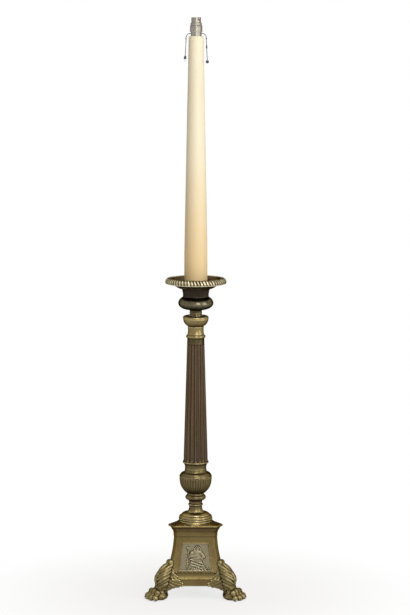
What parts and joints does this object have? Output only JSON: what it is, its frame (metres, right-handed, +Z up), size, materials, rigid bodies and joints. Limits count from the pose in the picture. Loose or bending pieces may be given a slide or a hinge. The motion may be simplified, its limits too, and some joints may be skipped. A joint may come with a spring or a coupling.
{
  "type": "candlestick floor lamp",
  "caption": "Tall brass candlestick floor lamp: three-sided plinth on lion-paw scroll legs, fluted column, drip pan, candle sleeve and bayonet lampholder with a chain-pull rocker switch.",
  "frame": {"origin": "on the floor, under the lamp's vertical axis", "axes": "+Z up along the lamp's axis; one face of the plinth looks towards -Y, and the single rear leg stands towards +Y"},
  "size_m": [0.3164, 0.2825, 1.746],
  "materials": {
    "aged_brass": "aged, lacquered, brown in the hollows",
    "polished_brass": "rubbed bright on the rings",
    "pale_brass": "pale green-grey patina",
    "brown_bronze": "brown lacquered bronze, satin",
    "dark_bronze": "nearly black patina",
    "candle_cream": "smooth cream, satin, warmer towards the foot",
    "nickel": "satin nickel plate",
    "brown_bakelite": "dark brown moulding",
    "white_insulator": "off-white moulding",
    "plain_brass": "plain brass",
    "brown_lever": "dark brown lacquered brass",
    "chain": "dull plated ball chain",
    "black_trim": "black, glossy",
    "clear_bead": "clear, polished",
    "rubber_bush": "black rubber",
    "steel": "plain zinc-plated steel"
  },
  "bodies": {
    "lamp": {"plinth_shell": "aged_brass", "cornice_plate": "aged_brass", "relief_plaque_front": "pale_brass", "relief_plaque_right": "pale_brass", "relief_plaque_left": "pale_brass", "plaque_screws": "steel", "paw_leg_right": "aged_brass", "paw_leg_rear": "aged_brass", "paw_leg_left": "aged_brass", "leg_bolts": "steel", "leg_washers": "steel", "leg_dowels": "steel", "dome_foot": "polished_brass", "lower_knop": "aged_brass", "gadroon_vase": "aged_brass", "column_base_ring": "aged_brass", "fluted_column": "brown_bronze", "column_collar": "polished_brass", "capital_cup": "polished_brass", "spool_neck": "aged_brass", "bulb_knop": "aged_brass", "reeded_neck": "dark_bronze", "drip_pan": "aged_brass", "candle_seat": "plain_brass", "candle_sleeve": "candle_cream", "candle_cap": "candle_cream", "stem_tube": "steel", "candle_tube": "steel", "tube_coupler": "steel", "base_washer": "steel", "base_nut": "steel", "pan_nut": "plain_brass", "cord_bush": "rubber_bush", "lampholder_cap": "nickel", "lampholder_body": "nickel", "bayonet_shell": "nickel", "switch_block": "brown_bakelite", "contact_block": "white_insulator", "terminal_plates": "plain_brass", "plunger_spring_left": "steel", "plunger_spring_right": "steel", "lever_pivot": "steel"},
    "rocker": {"switch_lever": "brown_lever"},
    "left_hook": {"chain_hook_left": "brown_lever"},
    "right_hook": {"chain_hook_right": "brown_lever"},
    "left_chain": {"pull_chain_left": "chain", "chain_bell": "black_trim", "chain_bead": "clear_bead"},
    "right_chain": {"pull_chain_right": "chain", "chain_joiner": "black_trim", "chain_end_ball": "black_trim"},
    "left_plunger": {"plunger_left": "plain_brass"},
    "right_plunger": {"plunger_right": "plain_brass"},
    "ring": {"shade_ring": "nickel"}
  },
  "joints": [
    {"name": "lever_rock", "type": "hinge", "parent": "lamp", "child": "rocker", "pos_m": [0, 0, 1.699], "axis": [0, 1, 0], "range_deg": [-6, 6]},
    {"name": "left_hook_turn", "type": "hinge", "parent": "rocker", "child": "left_hook", "pos_m": [-0.03, 0, 1.684], "axis": [0, 1, 0], "range_deg": [-6, 6]},
    {"name": "right_hook_turn", "type": "hinge", "parent": "rocker", "child": "right_hook", "pos_m": [0.03, 0, 1.684], "axis": [0, 1, 0], "range_deg": [-6, 6]},
    {"name": "left_chain_swing", "type": "hinge", "parent": "left_hook", "child": "left_chain", "pos_m": [-0.03, 0, 1.677], "axis": [1, 0, 0], "range_deg": [-45, 45]},
    {"name": "right_chain_swing", "type": "hinge", "parent": "right_hook", "child": "right_chain", "pos_m": [0.03, 0, 1.677], "axis": [1, 0, 0], "range_deg": [-45, 45]},
    {"name": "left_plunger_press", "type": "slide", "parent": "lamp", "child": "left_plunger", "axis": [0, 0, -1], "range_m": [0, 0.003], "stiffness_N_per_m": 600, "springref_m": -0.001, "deforming": ["plunger_spring_left"]},
    {"name": "right_plunger_press", "type": "slide", "parent": "lamp", "child": "right_plunger", "axis": [0, 0, -1], "range_m": [0, 0.003], "stiffness_N_per_m": 600, "springref_m": -0.001, "deforming": ["plunger_spring_right"]},
    {"name": "shade_ring_travel", "type": "slide", "parent": "lamp", "child": "ring", "axis": [0, 0, 1], "range_m": [0, 0.012]}
  ],
  "couplings": [
    {"joint": "left_hook_turn", "follows": "lever_rock", "ratio": -1},
    {"joint": "right_hook_turn", "follows": "lever_rock", "ratio": -1}
  ]
}
